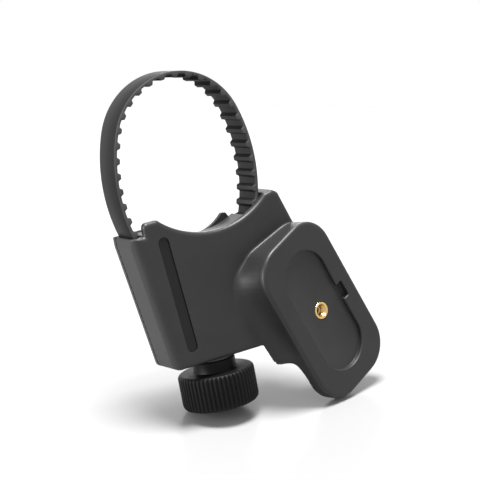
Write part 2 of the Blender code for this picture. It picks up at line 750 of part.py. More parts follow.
def clamp_screw(side):
    """Its head rests on the clamp plate and its shank passes the belt into the carriage."""
    head = CAR_HALF + BELT_AT_CLAMP + GAP + CLAMP_T + 0.1
    tip = CAR_HALF - 3.4
    name = "clamp_screw_left" if side < 0 else "clamp_screw_right"
    shank = head - tip
    profile = [(0.0, shank + 1.6), (CLAMP_HEAD_R - 0.2, shank + 1.6), (CLAMP_HEAD_R, shank + 1.2)]
    profile += [(CLAMP_HEAD_R, shank), (CLAMP_SCREW_R, shank), (CLAMP_SCREW_R, 0.6), (0.6, 0.0), (0.0, 0.0)]
    obj = turned(name, profile, 20)
    obj.matrix_world = side_matrix(side, tip)
    obj.data.materials.append(steel("clamp_screw"))
    return obj


def machine_screw(name, matrix):
    """A pan head screw whose head's underside is at its local origin and whose tip points down."""
    profile = [(0.0, SCREW_HEAD), (SCREW_HEAD_R * 0.7, SCREW_HEAD), (SCREW_HEAD_R, SCREW_HEAD * 0.6)]
    profile += [(SCREW_HEAD_R, 0.0), (SCREW_SHANK_R, 0.0), (SCREW_SHANK_R, 0.6 - SCREW_SHANK)]
    profile += [(SCREW_SHANK_R * 0.6, -SCREW_SHANK), (0.0, -SCREW_SHANK)]
    obj = turned(name, profile, 24)
    obj.matrix_world = matrix
    obj.data.materials.append(steel("screw"))
    return obj


def cover_screw(index, x, z):
    """A countersunk-level pan head screw from the rear cover into a boss of the housing."""
    turn = Matrix.Rotation(math.radians(-90.0), 4, "X")
    seat = BACK + GAP + COVER_SEAT + 0.1
    place = Matrix.Translation((mm(x), mm(seat), mm(z))) @ turn
    return machine_screw(f"cover_screw_{index + 1}", place)


def foot_dowel(name, along):
    obj = cylinder(name, DOWEL_R, -FOOT_T - DOWEL_L + 0.6, -FOOT_T + DOWEL_IN, 24, (0.0, along))
    obj.data.transform(foot_matrix())
    obj.data.materials.append(steel("dowel"))
    return obj


def guide_pin(side):
    """A steel pin under each end of the saddle floor that the strand runs over."""
    name = "guide_pin_left" if side < 0 else "guide_pin_right"
    obj = rod_y(name, PIN_R, FRONT + 1.8, BACK - GAP, (side * PIN_X, PIN_Z), 24)
    obj.data.materials.append(steel("pin"))
    return obj


def fluted_outline(radius, depth, flutes):
    """A knurled rim: each flute is a shallow valley between two flat-topped ridges."""
    points = []
    for i in range(flutes):
        for share, inset in ((0.0, 0.0), (0.42, 0.0), (0.58, 1.0), (0.84, 1.0)):
            angle = 2.0 * math.pi * (i + share) / flutes
            reach = radius - inset * depth
            points.append((reach * math.cos(angle), reach * math.sin(angle)))
    return points


def knob():
    """The fluted head, its hub under the housing and its hollow for the core and the cap."""
    body = sheet("knob", fluted_outline(KNOB_R, KNOB_FLUTE_DEPTH, KNOB_FLUTES), -KNOB_H / 2.0, KNOB_H / 2.0)
    stand = Matrix.Translation((0.0, 0.0, mm(KNOB_H / 2.0))) @ Matrix.Rotation(math.radians(90.0), 4, "X")
    body.data.transform(stand)
    step = body.modifiers.new("round", "BEVEL")
    step.width = mm(1.2)
    step.segments = 2
    step.limit_method = "ANGLE"
    step.angle_limit = math.radians(70.0)
    boolean(body, cylinder("hub_cutter", HUB_R, KNOB_H - 2.0, HUB_TOP, 48, (0, 0), CUTTERS), "UNION")
    core_top = KNOB_POCKET + KNOB_CORE_H + 0.9
    boolean(body, cylinder("core_cutter", KNOB_CORE_R + GAP, KNOB_POCKET, core_top, 6, (0, 0), CUTTERS))
    pocket = KNOB_POCKET + 0.01
    boolean(body, cylinder("cap_cutter", KNOB_POCKET_R + GAP, -3.0, pocket, 48, (0, 0), CUTTERS))
    boolean(body, cylinder("knob_bore", SCREW_R + GAP, 3.0, HUB_TOP + 3.0, 32, (0, 0), CUTTERS))
    body.data.materials.append(plastic("knob"))
    return body


def knob_core():
    """The hexagonal brass core that the screw's end is fixed in."""
    core = cylinder("knob_core", KNOB_CORE_R, KNOB_POCKET + GAP, KNOB_POCKET + KNOB_CORE_H, 6)
    boolean(core, cylinder("core_bore", SCREW_R + GAP, KNOB_POCKET + 3.0, 30.0, 32, (0, 0), CUTTERS))
    core.data.materials.append(brass("core"))
    return core


def knob_cap():
    cap = cylinder("knob_cap", KNOB_POCKET_R, 0.0, KNOB_POCKET - GAP, 48)
    bevel(cap, 0.6, 2)
    cap.data.materials.append(plastic("cap"))
    return cap


def lead_screw():
    """The long screw that the knob turns; its thread is drawn as its outside diameter."""
    low = KNOB_POCKET + 3.0 + GAP
    groove = CLIP_LOW
    profile = [(0.0, SCREW_TOP), (SCREW_R - 0.8, SCREW_TOP), (SCREW_R, SCREW_TOP - 0.8)]
    neck_r = SCREW_R - 0.7
    profile += [(SCREW_R, groove + 1.3), (neck_r, groove + 1.3), (neck_r, groove), (SCREW_R, groove)]
    profile += [(SCREW_R, low), (0.0, low)]
    obj = turned("lead_screw", profile, 32)
    obj.data.materials.append(steel("lead"))
    return obj


def washer(name, bore, radius, low, high, finish):
    profile = [(bore, high), (radius, high), (radius, low), (bore, low)]
    obj = ring(name, profile, 40)
    obj.data.materials.append(finish)
    return obj


def bottom_bush():
    """A flanged bush in the housing's floor: the screw turns in it."""
    top = BOTTOM + WALL + 1.5
    profile = [(SCREW_R + TURN_GAP, top), (BUSH_FLANGE_R, top), (BUSH_FLANGE_R, BOTTOM + WALL + GAP)]
    profile += [(BUSH_R, BOTTOM + WALL + GAP), (BUSH_R, BOTTOM), (SCREW_R + TURN_GAP, BOTTOM)]
    obj = ring("bottom_bush", profile, 40)
    obj.data.materials.append(brass("bush"))
    return obj


def retaining_clip():
    """An open ring in the screw's groove, over the bush."""
    low = CLIP_LOW + 0.15
    outline = arc((0.0, 0.0), CLIP_R, 30.0, 330.0, 24) + arc((0.0, 0.0), SCREW_R - 0.5, 330.0, 30.0, 24)
    obj = sheet("retaining_clip", outline, -0.5, 0.5)
    turn = Matrix.Rotation(math.radians(90.0), 4, "X")
    obj.data.transform(Matrix.Translation((0.0, 0.0, mm(low + 0.5))) @ turn)
    obj.data.materials.append(steel("clip"))
    return obj


def tension_nut():
    """The brass nut that the carriage carries on the screw."""
    nut = cylinder("tension_nut", NUT_R, CAR_TOP - NUT_T, CAR_TOP - 0.2, 6)
    low = CAR_TOP - NUT_T - 3.0
    boolean(nut, cylinder("nut_bore", SCREW_R + TURN_GAP, low, CAR_TOP + 3.0, 32, (0, 0), CUTTERS))
    nut.data.materials.append(brass("nut"))
    return nut


def main():
    clear_scene()
    front_housing()
    rear_cover()
    foot_plate()
    brass_insert()
    belt_loop()
    saddle_floor()
    carriage()
    for side in (-1, 1):
        belt_tail(side)
        belt_clamp(side)
        clamp_screw(side)
        guide_pin(side)
    for index, (x, z) in enumerate(COVER_SCREWS):
        cover_screw(index, x, z)
    foot_dowel("foot_dowel_lower", DOWELS[0])
    foot_dowel("foot_dowel_upper", DOWELS[1])
    knob()
    knob_core()
    knob_cap()
    lead_screw()
    washer("thrust_washer", SCREW_R + GAP, HUB_R - 0.5, HUB_TOP + 0.25, BOTTOM - 0.25, plastic("washer"))
    bottom_bush()
    retaining_clip()
    tension_nut()


main()
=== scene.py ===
"""The looks of the belt clamp mount: detailed shells, belt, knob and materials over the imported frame."""

import math

import bmesh
import bpy
from mathutils import Matrix, Quaternion, Vector


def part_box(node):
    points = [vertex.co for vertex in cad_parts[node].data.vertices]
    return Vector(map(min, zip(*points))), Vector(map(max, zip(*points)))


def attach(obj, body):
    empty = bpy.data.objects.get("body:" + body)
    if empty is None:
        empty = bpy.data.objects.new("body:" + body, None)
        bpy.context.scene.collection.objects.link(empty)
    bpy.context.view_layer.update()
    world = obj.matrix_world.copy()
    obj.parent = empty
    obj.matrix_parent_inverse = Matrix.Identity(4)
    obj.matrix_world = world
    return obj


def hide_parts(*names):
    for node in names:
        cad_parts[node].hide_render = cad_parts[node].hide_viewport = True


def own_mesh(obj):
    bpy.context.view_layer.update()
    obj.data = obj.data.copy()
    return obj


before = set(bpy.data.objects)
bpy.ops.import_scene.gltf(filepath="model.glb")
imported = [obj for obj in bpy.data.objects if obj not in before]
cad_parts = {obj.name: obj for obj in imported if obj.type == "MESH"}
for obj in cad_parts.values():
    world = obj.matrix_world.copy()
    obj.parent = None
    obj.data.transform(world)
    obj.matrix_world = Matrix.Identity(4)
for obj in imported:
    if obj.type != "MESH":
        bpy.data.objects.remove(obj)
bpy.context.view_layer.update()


def mm(value):
    return value * 0.001


# Driving sizes, in millimetres, taken from the frame's own boxes wherever a node gives them.
def low(node):
    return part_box(node)[0] * 1000.0


def high(node):
    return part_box(node)[1] * 1000.0


GAP = 0.3
KNOB_R = high("knob").x
KNOB_RIM_R = 20.5
KNOB_TOP = 19.0
KNOB_FLUTES = 54
FLUTE_DEPTH = 0.85
FLUTE_SIDES = 12
KNOB_BORE_R = 3.4
HUB_R = 11.5
HUB_TOP = high("knob").z
BOTTOM = 27.0
FRONT = low("belt_loop").y - 3.5
BACK = low("rear_cover").y - GAP
COVER_BACK = high("rear_cover").y
LEFT_TOP_X = low("rear_cover").x
LEFT_FOOT_X = -28.4
LEFT_TOP_Z = 95.0
LEFT_WALL_TOP = 100.0
HORN_LEFT_X = -32.0
HORN_TOP = 106.8
SADDLE_X = 9.0
SADDLE_LOW = 94.0
SADDLE_R = 47.0
REAR_X = 6.5
REAR_LOW = 90.5
REAR_R = 26.0
REAR_TIP_X = 24.5
REAR_TIP_W = 2.3
RIGHT_HORN = (48.5, 104.8)
RIGHT_SIDE = (57.0, 80.0)
RIGHT_FOOT_X = 27.0
CAVITY_RIGHT = 41.0
CAVITY_SHOULDER = 86.0
CAVITY_FOOT_X = 20.0
CAVITY_TOP = 114.0
CLEAR_TOP = 130.0
WALL = 3.0
SIDE_WALL = 1.6
SIDE_ROUND = 6.0
STRIP_TOP = Vector((-22.4, 94.4))
STRIP_LOW = Vector((-17.6, 38.0))
STRIP_R = 3.1
STRIP_DEPTH = 0.8
LIP_ROUND = 2.2
SKIN_VOXEL = 0.5
SKIN_ROUNDS = 4
BUSH_R = 4.1
BOSS_R = 3.6
PILOT_R = 1.55
COVER_ROUND = 2.2
COVER_HOLE_R = 1.75
COVER_SINK_R = 3.3
COVER_SEAT = 1.4
FLOOR_RIGHT = high("saddle_floor").x
FLOOR_LEFT = low("saddle_floor").x
FLOOR_DROP = 2.4
FLOOR_LEVEL = 99.6
FLOOR_T = 3.4
BELT_HALF = high("belt_loop").x
BELT_FRONT = low("belt_loop").y
BELT_W = high("belt_loop").y - BELT_FRONT
BELT_SIDE_R = 86.0
BELT_SIDE_Z = 125.0
BELT_TURN = math.radians(20.0)
BELT_END = low("belt_loop").z
BELT_BACK = 1.6
TOOTH_H = 1.65
PITCH = 8.0
TAIL_T = 2.2
TAIL_TOP = high("belt_tail_right").z
TAIL_TOP_X = high("belt_tail_right").x
TAIL_BEND = 83.8
TAIL_BEND_X = TAIL_TOP_X - 2.2
TAIL_FOOT_X = 13.1
CAR_LOW = low("tension_carriage").z
CAR_TOP = high("tension_carriage").z
FOOT_YAW = math.radians(14.0)
FOOT_ROLL = math.radians(23.4)
FOOT_HALF_W = 26.7
FOOT_HALF_L = 48.2
FOOT_CORNER = 17.8
FOOT_T = 4.2
FOOT_EDGE = 1.8
FOOT_FLARE_T = 8.0
NECK_FLARE = 8.6
NECK_LOW = 14.5
NECK_SINK = 0.12
NECK_FADE_Y = -12.0
NECK_FADE = 14.0
NECK_AT = Vector((39.0, -2.0, 60.0))
NECK_HALF_W = 13.5
NECK_HALF_L = 27.0
RECESS_HALF_W = 15.4
RECESS_HALF_L = 36.4
RECESS = 2.5
NOTCH_IN = 14.0
NOTCH_OUT = 19.4
NOTCH_LOW = -4.3
NOTCH_TOP = 5.2
NOTCH_DEPTH = RECESS + 0.6
INSERT_R = 4.75
INSERT_L = 5.2
INSERT_MOUTH_R = 3.55
THREAD_ROOT_R = 3.15
THREAD_CREST_R = 2.75
THREAD_TURNS = 4
COVER_SCREWS = [(-24.0, 36.5), (-30.5, 70.0), (24.0, 44.0), (36.5, 78.0)]

# Stage, in metres, watts and degrees.
FLOOR_UP = Vector((0.040, -0.239, 0.970)).normalized()
KEY_POWER = 13.0
TOP_POWER = 140.0
RIM_POWER = 4.0
CAMERA_AT = Vector((-0.4421, -0.9367, 0.2610))
CAMERA_AIM = Vector((0.0272, -0.0030, 0.0830))
CAMERA_ROLL = -10.73


def foot_matrix():
    """The foot plate's frame: x across, y along its length, z out of its face, at its centre."""
    out = Vector((math.sin(FOOT_YAW), -math.cos(FOOT_YAW), 0.0))
    across = Vector((math.cos(FOOT_YAW), math.sin(FOOT_YAW), 0.0))
    up = Vector((0.0, 0.0, 1.0))
    side = across * math.cos(FOOT_ROLL) + up * math.sin(FOOT_ROLL)
    along = up * math.cos(FOOT_ROLL) - across * math.sin(FOOT_ROLL)
    matrix = Matrix((side, along, out)).transposed().to_4x4()
    box_low, box_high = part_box("foot_plate")
    matrix.translation = (box_low + box_high) / 2.0 + out * mm(FOOT_T / 2.0)
    return matrix


# ---------------------------------------------------------------- materials


def new_material(name):
    made = bpy.data.materials.new(name)
    made.use_nodes = True
    return made, made.node_tree.nodes, made.node_tree.links


def node(nodes, kind, **inputs):
    made = nodes.new(kind)
    for key, value in inputs.items():
        made.inputs[key.replace("_", " ")].default_value = value
    return made


def grainy(name, dark, light, roughness, swing, grain_mm, bump, metallic=0.0, specular=0.5, painted_edge_highlight=0.0):
    """Moulded or cast surface: fine grain in bump and roughness, slow colour drift, and a painted
    highlight that makes sharp edges paler.
    """
    made, nodes, links = new_material(name)
    shader = nodes["Principled BSDF"]
    shader.inputs["Metallic"].default_value = metallic
    shader.inputs["Specular IOR Level"].default_value = specular
    place = nodes.new("ShaderNodeTexCoord")
    drift = node(nodes, "ShaderNodeTexNoise", Scale=38.0, Detail=4.0, Roughness=0.55)
    links.new(place.outputs["Object"], drift.inputs["Vector"])
    grain = node(nodes, "ShaderNodeTexNoise", Scale=1000.0 / grain_mm, Detail=2.0, Roughness=0.6)
    links.new(place.outputs["Object"], grain.inputs["Vector"])
    ramp = nodes.new("ShaderNodeValToRGB")
    ramp.color_ramp.elements[0].position = 0.3
    ramp.color_ramp.elements[1].position = 0.75
    ramp.color_ramp.elements[0].color = (*dark, 1.0)
    ramp.color_ramp.elements[1].color = (*light, 1.0)
    links.new(drift.outputs["Fac"], ramp.inputs["Fac"])
    colour = ramp.outputs["Color"]
    # Painted highlight: the colour turns paler where the surface is sharp (high pointiness), standing in
    # for thin highlights along edges.
    if painted_edge_highlight > 0.0:
        edge = nodes.new("ShaderNodeNewGeometry")
        highlight_mask = nodes.new("ShaderNodeMapRange")
        highlight_mask.inputs["From Min"].default_value = 0.52
        highlight_mask.inputs["From Max"].default_value = 0.62
        highlight_mask.inputs["To Max"].default_value = painted_edge_highlight
        links.new(edge.outputs["Pointiness"], highlight_mask.inputs["Value"])
        mix = nodes.new("ShaderNodeMix")
        mix.data_type = "RGBA"
        mix.inputs["B"].default_value = (*[min(1.0, c * 2.6 + 0.02) for c in light], 1.0)
        links.new(highlight_mask.outputs["Result"], mix.inputs["Factor"])
        links.new(colour, mix.inputs["A"])
        colour = mix.outputs["Result"]
    links.new(colour, shader.inputs["Base Color"])
    rough = nodes.new("ShaderNodeMapRange")
    rough.inputs["To Min"].default_value = roughness - swing
    rough.inputs["To Max"].default_value = roughness + swing
    links.new(grain.outputs["Fac"], rough.inputs["Value"])
    links.new(rough.outputs["Result"], shader.inputs["Roughness"])
    raised = node(nodes, "ShaderNodeBump", Strength=bump, Distance=mm(0.05))
    links.new(grain.outputs["Fac"], raised.inputs["Height"])
    links.new(raised.outputs["Normal"], shader.inputs["Normal"])
    return made


def belt_back():
    """Ground rubber: faint lines along the belt and a trace of sheen."""
    made, nodes, links = new_material("belt_back_rubber")
    shader = nodes["Principled BSDF"]
    shader.inputs["Specular IOR Level"].default_value = 0.07
    shader.inputs["Sheen Weight"].default_value = 0.01
    shader.inputs["Sheen Roughness"].default_value = 0.5
    uv = nodes.new("ShaderNodeUVMap")
    stretch = nodes.new("ShaderNodeMapping")
    stretch.inputs["Scale"].default_value = (60.0, 2600.0, 1.0)
    links.new(uv.outputs["UV"], stretch.inputs["Vector"])
    lines = node(nodes, "ShaderNodeTexNoise", Scale=1.0, Detail=3.0, Roughness=0.6)
    links.new(stretch.outputs["Vector"], lines.inputs["Vector"])
    ramp = nodes.new("ShaderNodeValToRGB")
    ramp.color_ramp.elements[0].color = (0.004, 0.004, 0.0042, 1.0)
    ramp.color_ramp.elements[1].color = (0.011, 0.011, 0.0115, 1.0)
    links.new(lines.outputs["Fac"], ramp.inputs["Fac"])
    links.new(ramp.outputs["Color"], shader.inputs["Base Color"])
    rough = nodes.new("ShaderNodeMapRange")
    rough.inputs["To Min"].default_value = 0.36
    rough.inputs["To Max"].default_value = 0.5
    links.new(lines.outputs["Fac"], rough.inputs["Value"])
    links.new(rough.outputs["Result"], shader.inputs["Roughness"])
    raised = node(nodes, "ShaderNodeBump", Strength=0.25, Distance=mm(0.05))
    links.new(lines.outputs["Fac"], raised.inputs["Height"])
    links.new(raised.outputs["Normal"], shader.inputs["Normal"])
    return made


def belt_weave():
    """Nylon twill facing on the toothed side: fine diagonal ribs crossed by threads."""
    made, nodes, links = new_material("belt_weave_fabric")
    shader = nodes["Principled BSDF"]
    shader.inputs["Specular IOR Level"].default_value = 0.05
    uv = nodes.new("ShaderNodeUVMap")
    ribs = node(nodes, "ShaderNodeTexWave", Scale=430.0, Distortion=0.6, Detail=1.0, Detail_Scale=2.0)
    ribs.bands_direction = "DIAGONAL"
    links.new(uv.outputs["UV"], ribs.inputs["Vector"])
    turned = nodes.new("ShaderNodeMapping")
    turned.inputs["Rotation"].default_value = (0.0, 0.0, math.radians(65.0))
    links.new(uv.outputs["UV"], turned.inputs["Vector"])
    threads = node(nodes, "ShaderNodeTexWave", Scale=900.0, Distortion=0.4, Detail=1.0)
    links.new(turned.outputs["Vector"], threads.inputs["Vector"])
    both = nodes.new("ShaderNodeMath")
    both.operation = "MULTIPLY_ADD"
    both.inputs[1].default_value = 0.4
    links.new(threads.outputs["Fac"], both.inputs[0])
    links.new(ribs.outputs["Fac"], both.inputs[2])
    ramp = nodes.new("ShaderNodeValToRGB")
    ramp.color_ramp.elements[0].position = 0.35
    ramp.color_ramp.elements[0].color = (0.008, 0.008, 0.0082, 1.0)
    ramp.color_ramp.elements[1].color = (0.055, 0.055, 0.0565, 1.0)
    links.new(both.outputs["Value"], ramp.inputs["Fac"])
    links.new(ramp.outputs["Color"], shader.inputs["Base Color"])
    shader.inputs["Roughness"].default_value = 0.6
    raised = node(nodes, "ShaderNodeBump", Strength=0.9, Distance=mm(0.2))
    links.new(both.outputs["Value"], raised.inputs["Height"])
    links.new(raised.outputs["Normal"], shader.inputs["Normal"])
    return made


# Housing and knob get the painted edge highlight.
HOUSING = grainy(
    "housing_satin", (0.009,) * 3, (0.0125,) * 3, 0.44, 0.08, 0.16, 0.3, specular=0.36, painted_edge_highlight=0.5
)
KNOB_MAT = grainy("knob_satin", (0.003,) * 3, (0.0045,) * 3, 0.42, 0.08, 0.14, 0.3, specular=0.1, painted_edge_highlight=0.4)
STRIP = grainy("strip_gloss", (0.004,) * 3, (0.006,) * 3, 0.24, 0.06, 0.3, 0.1, specular=0.22)
INNER = grainy("inner_satin", (0.03,) * 3, (0.04,) * 3, 0.4, 0.07, 0.18, 0.3, specular=0.45)
BRASS = grainy("insert_brass", (0.62, 0.43, 0.18), (0.8, 0.58, 0.27), 0.26, 0.09, 0.12, 0.3, metallic=1.0)
STEEL = grainy("zinc_steel", (0.46, 0.47, 0.48), (0.6, 0.61, 0.62), 0.32, 0.1, 0.1, 0.25, metallic=1.0)
BELT_BACK_MAT = belt_back()
BELT_WEAVE_MAT = belt_weave()
# The tooth flanks: the same facing in a darker copy, painted shade for the valleys between teeth.
BELT_FLANK_SHADE_MAT = grainy(
    "belt_flank_painted_shade", (0.008,) * 3, (0.012,) * 3, 0.7, 0.1, 0.3, 0.2, specular=0.04
)
BELT_EDGE_MAT = grainy("belt_edge_rubber", (0.032,) * 3, (0.048,) * 3, 0.6, 0.1, 0.25, 0.3, specular=0.1)


# ---------------------------------------------------------------- mesh tools


def arc(centre, radius, start, end, steps):
    points = []
    for i in range(steps + 1):
        angle = math.radians(start + (end - start) * i / steps)
        points.append((centre[0] + radius * math.cos(angle), centre[1] + radius * math.sin(angle)))
    return points


def rounded(corners, steps=8):
    """The outline through (x, y, radius) corners, each turned into an arc of its radius."""
    points = []
    for i, (x, y, radius) in enumerate(corners):
        here = Vector((x, y))
        if radius <= 0.0:
            points.append((x, y))
            continue
        before = (Vector(corners[i - 1][:2]) - here).normalized()
        after = (Vector(corners[(i + 1) % len(corners)][:2]) - here).normalized()
        half = before.angle(after) / 2.0
        reach = radius / math.tan(half)
        centre = here + (before + after).normalized() * (radius / math.sin(half))
        first = here + before * reach - centre
        turn = (here + after * reach - centre).angle_signed(first)
        for k in range(steps + 1):
            points.append(tuple(centre + Matrix.Rotation(turn * k / steps, 2) @ first))
    return points


def ring_point(radius, angle, z):
    return Vector((radius * math.cos(angle), radius * math.sin(angle), z)) * 0.001


def round_rectangle(half_w, half_l, radius, steps):
    corners = [(half_w, half_l), (-half_w, half_l), (-half_w, -half_l), (half_w, -half_l)]
    return rounded([(x, y, radius) for x, y in corners], steps)


def link(name, mesh):
    obj = bpy.data.objects.new(name, mesh)
    bpy.context.scene.collection.objects.link(obj)
    return obj


def from_bmesh(name, bm):
    bmesh.ops.recalc_face_normals(bm, faces=bm.faces)
    mesh = bpy.data.meshes.new(name)
    bm.to_mesh(mesh)
    bm.free()
    return link(name, mesh)


def slab(name, outline, front, back):
    """A flat outline in x and z, between y = front and y = back."""
    bm = bmesh.new()
    rings = [[bm.verts.new((mm(x), mm(y), mm(z))) for x, z in outline] for y in (front, back)]
    count = len(outline)
    for k in range(count):
        after = (k + 1) % count
        bm.faces.new((rings[0][k], rings[0][after], rings[1][after], rings[1][k]))
    bm.faces.new(rings[0])
    bm.faces.new(rings[1])
    return from_bmesh(name, bm)


def skin(name, rings, close=True, cap=(True, True)):
    """A loft through rings of points, each ring joined to the next."""
    bm = bmesh.new()
    made = [[bm.verts.new(p) for p in ring] for ring in rings]
    for one, two in zip(made, made[1:]):
        count = len(one)
        for k in range(count if close else count - 1):
            after = (k + 1) % count
            bm.faces.new((one[k], one[after], two[after], two[k]))
    if cap[0]:
        bm.faces.new(made[0])
    if cap[1]:
        bm.faces.new(made[-1])
    return from_bmesh(name, bm)


def cylinder(name, radius, low_z, high_z, sides=48):
    bm = bmesh.new()
    size = mm(radius)
    bmesh.ops.create_cone(
        bm, cap_ends=True, segments=sides, radius1=size, radius2=size, depth=mm(high_z - low_z)
    )
    bmesh.ops.translate(bm, verts=bm.verts, vec=(0.0, 0.0, mm((low_z + high_z) / 2.0)))
    return from_bmesh(name, bm)


def along_y(obj, x, z, front):
    """Lays a piece built on Z along Y, its start at y = front."""
    turn = Matrix.Rotation(math.radians(-90.0), 4, "X")
    obj.data.transform(Matrix.Translation((mm(x), mm(front), mm(z))) @ turn)
    return obj


def apply_modifiers(obj):
    graph = bpy.context.evaluated_depsgraph_get()
    mesh = bpy.data.meshes.new_from_object(obj.evaluated_get(graph))
    old = obj.data
    obj.modifiers.clear()
    obj.data = mesh
    bpy.data.meshes.remove(old)
    return obj


def cut(obj, *others, operation="DIFFERENCE"):
    for other in others:
        step = obj.modifiers.new("cut", "BOOLEAN")
        step.operation = operation
        step.solver = "MANIFOLD"
        step.object = other
    bpy.context.view_layer.update()
    apply_modifiers(obj)
    for other in others:
        bpy.data.objects.remove(other, do_unlink=True)
    return obj


def bevel(obj, width, segments=4, angle=35.0, weights=None):
    step = obj.modifiers.new("round", "BEVEL")
    step.width = mm(width)
    step.segments = segments
    if weights is None:
        step.limit_method = "ANGLE"
        step.angle_limit = math.radians(angle)
    else:
        values = obj.data.attributes.new("bevel_weight_edge", "FLOAT", "EDGE")
        for edge in obj.data.edges:
            a, b = (obj.data.vertices[i].co for i in edge.vertices)
            values.data[edge.index].value = weights(a, b)
        step.limit_method = "WEIGHT"
    bpy.context.view_layer.update()
    return apply_modifiers(obj)


def smooth(obj, angle=32.0):
    """Smooth shading that keeps real corners."""
    obj.data.shade_smooth()
    obj.data.set_sharp_from_angle(angle=math.radians(angle))


def fine(obj, material, angle=32.0):
    """Smooth shading and one material."""
    smooth(obj, angle)
    obj.data.materials.clear()
    obj.data.materials.append(material)
    return obj


def soften(obj, voxel, rounds):
    """Remeshes to one skin and relaxes it, so that joins become fillets."""
    remesh = obj.modifiers.new("remesh", "REMESH")
    remesh.mode = "VOXEL"
    remesh.voxel_size = mm(voxel)
    relax = obj.modifiers.new("relax", "SMOOTH")
    relax.factor = 0.5
    relax.iterations = rounds
    bpy.context.view_layer.update()
    return apply_modifiers(obj)


# ---------------------------------------------------------------- housing


def saddle_z(x, drop=0.0):
    return SADDLE_LOW - drop + SADDLE_R - math.sqrt(SADDLE_R**2 - (x - SADDLE_X) ** 2)


def saddle_line(start, end, drop, steps):
    return [
        (start + (end - start) * i / steps, saddle_z(start + (end - start) * i / steps, drop))
        for i in range(steps + 1)
    ]


def body_corners(left_horn):
    corners = [
        (*RIGHT_HORN, 1.5),
        (*RIGHT_SIDE, 12.0),
        (RIGHT_FOOT_X, BOTTOM, 10.0),
        (LEFT_FOOT_X, BOTTOM, 3.0),
        (LEFT_TOP_X, LEFT_TOP_Z, 0.0),
        (LEFT_TOP_X, LEFT_WALL_TOP, 0.8),
    ]
    if left_horn:
        corners += [(HORN_LEFT_X, LEFT_WALL_TOP, 0.0), (HORN_LEFT_X, HORN_TOP, 2.4)]
    return corners


def front_outline():
    run = math.sqrt(SADDLE_R**2 - (SADDLE_LOW + SADDLE_R - HORN_TOP) ** 2)
    saddle = [(x, z, 0.0) for x, z in saddle_line(SADDLE_X - run, SADDLE_X + run - 1.0, 0.0, 48)]
    return rounded(saddle + [(45.2, HORN_TOP, 0.0)] + body_corners(True))


def left_x(z):
    rise = min(max(z, BOTTOM), LEFT_TOP_Z)
    return LEFT_FOOT_X + (LEFT_TOP_X - LEFT_FOOT_X) * (rise - BOTTOM) / (LEFT_TOP_Z - BOTTOM)


def lipped_slab(name, outline, front, back, radius):
    """A slab whose front rim is rounded with this radius."""
    rings = [[(x, back, z) for x, z in outline]]
    for k in range(9):
        angle = math.radians(90.0 * k / 8)
        inset = radius * (1.0 - math.cos(angle))
        depth = front + radius * (1.0 - math.sin(angle))
        rings.append([(x, depth, z) for x, z in offset(outline, -inset)])
    return skin(name, [[Vector(point) * 0.001 for point in ring] for ring in rings])


def resampled(outline, step):
    """The closed outline with extra points, so that none of its segments is longer than this step."""
    points = []
    for i, point in enumerate(outline):
        here = Vector(point)
        after = Vector(outline[(i + 1) % len(outline)])
        count = max(1, math.ceil((after - here).length / step))
        points += [here.lerp(after, k / count) for k in range(count)]
    return points


def spread(point, normal):
    """How much the neck spreads out at this point of the foot's outline: most on its left side."""
    side = -normal.x - 0.6 * max(0.0, normal.y) + 0.3 * max(0.0, -normal.y)
    fade = min(1.0, max(0.0, (point.y - NECK_FADE_Y + NECK_FADE) / NECK_FADE))
    return min(1.0, max(0.0, side)) * fade


def foot_outline(inset, steps):
    return round_rectangle(FOOT_HALF_W - inset, FOOT_HALF_L - inset, FOOT_CORNER - inset, steps)


def neck_ring(outline, share):
    """Share 0 lies in the foot plate, share 1 on the front face, or behind it on the right."""
    back = foot_matrix()
    back.translation -= back.col[2].to_3d() * mm(FOOT_T - 1.0)
    inwards = -back.col[2].to_3d()
    ring = []
    for i, point in enumerate(outline):
        tangent = outline[(i + 1) % len(outline)] - outline[i - 1]
        normal = Vector((tangent.y, -tangent.x)).normalized()
        start = back @ Vector((mm(point.x), mm(point.y), 0.0))
        plate = mm(FOOT_FLARE_T - FOOT_T + 1.0)
        depth = max(plate, (mm(FRONT + NECK_SINK) - start.y) / inwards.y)
        outwards = back.to_3x3() @ Vector((normal.x, normal.y, 0.0))
        outwards.y = 0.0
        grow = mm(NECK_FLARE) * (1.0 - math.sqrt(1.0 - share**2)) * spread(point, normal)
        at = start + inwards * depth * share + outwards * grow
        past = max(0.0, depth * share - plate) / max(mm(0.1), depth - plate)
        if at.z < mm(NECK_LOW):
            at.z += (mm(NECK_LOW) - at.z) * (1.0 - (1.0 - past) ** 2.0)
        ring.append(at)
    return ring


def neck():
    """The neck: it spreads out from the foot plate onto the front face, and ends inside the housing."""
    outline = resampled(foot_outline(0.05, 10), 3.0)
    steps = 16
    flare = [neck_ring(outline, math.sin(math.pi / 2.0 * i / steps)) for i in range(steps + 1)]
    half = Vector((NECK_HALF_W / FOOT_HALF_W, NECK_HALF_L / FOOT_HALF_L))
    ends = [(NECK_AT + Vector((point.x * half.x, 0.0, point.y * half.y))) * 0.001 for point in outline]
    inner = []
    for i in range(1, 11):
        share = i / 10
        ease = 1.0 - (1.0 - share) ** 2.2
        ring = [start.lerp(end, ease) for start, end in zip(flare[-1], ends)]
        for at, start, end in zip(ring, flare[-1], ends):
            at.y = start.y + (end.y - start.y) * share
        inner.append(ring)
    return skin("neck", flare + inner)


def cavity():
    """The hollow behind the front plate, open at the top for the belt's two strands."""
    inner = left_x(LEFT_TOP_Z) + SIDE_WALL
    outline = [(LEFT_FOOT_X + 1.3, BOTTOM + WALL, 2.0), (inner, LEFT_TOP_Z, 0.0)]
    outline += [(inner, CAVITY_TOP, 0.0), (CAVITY_RIGHT, CAVITY_TOP, 0.0)]
    outline += [(CAVITY_RIGHT, CAVITY_SHOULDER, 6.0), (CAVITY_FOOT_X, BOTTOM + WALL, 5.0)]
    return slab("cavity", rounded(outline), FRONT + WALL, BACK + 20.0)


